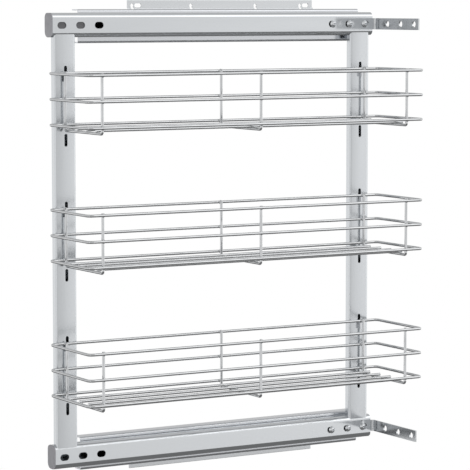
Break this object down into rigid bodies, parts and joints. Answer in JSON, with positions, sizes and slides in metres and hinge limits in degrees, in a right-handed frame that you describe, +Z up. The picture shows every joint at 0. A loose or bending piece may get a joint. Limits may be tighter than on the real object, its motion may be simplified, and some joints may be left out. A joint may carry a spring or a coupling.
{
  "type": "three-tier pull-out basket",
  "caption": "Narrow pull-out frame on ball-bearing slides for the side of a base cabinet, carrying lift-off wire baskets, with brackets for the door.",
  "frame": {"origin": "midway between the two fixing slots of the upper wall bracket, on the back face of that bracket, which is the cabinet side", "axes": "+X is the way the frame pulls out, +Y points into the cabinet side that the brackets are screwed to, +Z is up; the baskets hang on the -Y side"},
  "size_m": [0.4799, 0.1475, 0.5898],
  "materials": {
    "frame_silver": "smooth silver-grey coating with a soft sheen",
    "wall_bracket_zinc": "zinc-plated sheet steel",
    "door_bracket_zinc": "zinc-plated sheet steel, slightly dull",
    "slide_steel": "zinc-plated rolled steel",
    "cage_steel": "zinc-plated strip",
    "ball_steel": "polished bearing steel",
    "fastener_zinc": "bright zinc plate",
    "cap_grey": "moulded grey plastic",
    "wire_chrome": "bright plated wire",
    "hook_chrome": "bright plated plate"
  },
  "bodies": {
    "cabinet_side": {"top_wall_bracket": "wall_bracket_zinc", "top_fixed_slide_member": "slide_steel", "top_wall_rivets": "fastener_zinc", "bottom_wall_bracket": "wall_bracket_zinc", "bottom_fixed_slide_member": "slide_steel", "bottom_wall_rivets": "fastener_zinc"},
    "pull_out_frame": {"top_moving_channel": "slide_steel", "top_frame_rail": "frame_silver", "top_rail_rivets": "fastener_zinc", "top_rear_end_cap": "cap_grey", "top_door_bracket": "door_bracket_zinc", "top_bracket_screws": "fastener_zinc", "bottom_moving_channel": "slide_steel", "bottom_frame_rail": "frame_silver", "bottom_rail_rivets": "fastener_zinc", "bottom_rear_end_cap": "cap_grey", "bottom_door_bracket": "door_bracket_zinc", "bottom_bracket_screws": "fastener_zinc", "rear_post": "frame_silver", "front_post": "frame_silver"},
    "top_intermediate": {"top_intermediate_slide_member": "slide_steel"},
    "bottom_intermediate": {"bottom_intermediate_slide_member": "slide_steel"},
    "top_outer_cage": {"top_outer_ball_cage": "cage_steel", "top_outer_balls": "ball_steel"},
    "bottom_outer_cage": {"bottom_outer_ball_cage": "cage_steel", "bottom_outer_balls": "ball_steel"},
    "top_inner_cage": {"top_inner_ball_cage": "cage_steel", "top_inner_balls": "ball_steel"},
    "bottom_inner_cage": {"bottom_inner_ball_cage": "cage_steel", "bottom_inner_balls": "ball_steel"},
    "upper_basket": {"upper_basket_top_ring": "wire_chrome", "upper_basket_middle_ring": "wire_chrome", "upper_basket_low_ring": "wire_chrome", "upper_basket_cross_wires": "wire_chrome", "upper_basket_floor_wires": "wire_chrome", "upper_basket_hooks": "hook_chrome"},
    "middle_basket": {"middle_basket_top_ring": "wire_chrome", "middle_basket_middle_ring": "wire_chrome", "middle_basket_low_ring": "wire_chrome", "middle_basket_cross_wires": "wire_chrome", "middle_basket_floor_wires": "wire_chrome", "middle_basket_hooks": "hook_chrome"},
    "lower_basket": {"lower_basket_top_ring": "wire_chrome", "lower_basket_middle_ring": "wire_chrome", "lower_basket_low_ring": "wire_chrome", "lower_basket_cross_wires": "wire_chrome", "lower_basket_floor_wires": "wire_chrome", "lower_basket_hooks": "hook_chrome"}
  },
  "joints": [
    {"name": "frame_slide", "type": "slide", "parent": "cabinet_side", "child": "pull_out_frame", "axis": [1, 0, 0], "range_m": [0, 0.4]},
    {"name": "top_intermediate_slide", "type": "slide", "parent": "cabinet_side", "child": "top_intermediate", "axis": [1, 0, 0], "range_m": [0, 0.2]},
    {"name": "top_outer_cage_slide", "type": "slide", "parent": "cabinet_side", "child": "top_outer_cage", "axis": [1, 0, 0], "range_m": [0, 0.3]},
    {"name": "top_inner_cage_slide", "type": "slide", "parent": "cabinet_side", "child": "top_inner_cage", "axis": [1, 0, 0], "range_m": [0, 0.1]},
    {"name": "bottom_intermediate_slide", "type": "slide", "parent": "cabinet_side", "child": "bottom_intermediate", "axis": [1, 0, 0], "range_m": [0, 0.2]},
    {"name": "bottom_outer_cage_slide", "type": "slide", "parent": "cabinet_side", "child": "bottom_outer_cage", "axis": [1, 0, 0], "range_m": [0, 0.3]},
    {"name": "bottom_inner_cage_slide", "type": "slide", "parent": "cabinet_side", "child": "bottom_inner_cage", "axis": [1, 0, 0], "range_m": [0, 0.1]},
    {"name": "upper_basket_lift", "type": "slide", "parent": "pull_out_frame", "child": "upper_basket", "axis": [0, 0, 1], "range_m": [0, 0.009]},
    {"name": "middle_basket_lift", "type": "slide", "parent": "pull_out_frame", "child": "middle_basket", "axis": [0, 0, 1], "range_m": [0, 0.009]},
    {"name": "lower_basket_lift", "type": "slide", "parent": "pull_out_frame", "child": "lower_basket", "axis": [0, 0, 1], "range_m": [0, 0.009]}
  ],
  "couplings": [
    {"joint": "top_intermediate_slide", "follows": "frame_slide", "ratio": 0.5},
    {"joint": "top_outer_cage_slide", "follows": "frame_slide", "ratio": 0.75},
    {"joint": "top_inner_cage_slide", "follows": "frame_slide", "ratio": 0.25},
    {"joint": "bottom_intermediate_slide", "follows": "frame_slide", "ratio": 0.5},
    {"joint": "bottom_outer_cage_slide", "follows": "frame_slide", "ratio": 0.75},
    {"joint": "bottom_inner_cage_slide", "follows": "frame_slide", "ratio": 0.25}
  ]
}
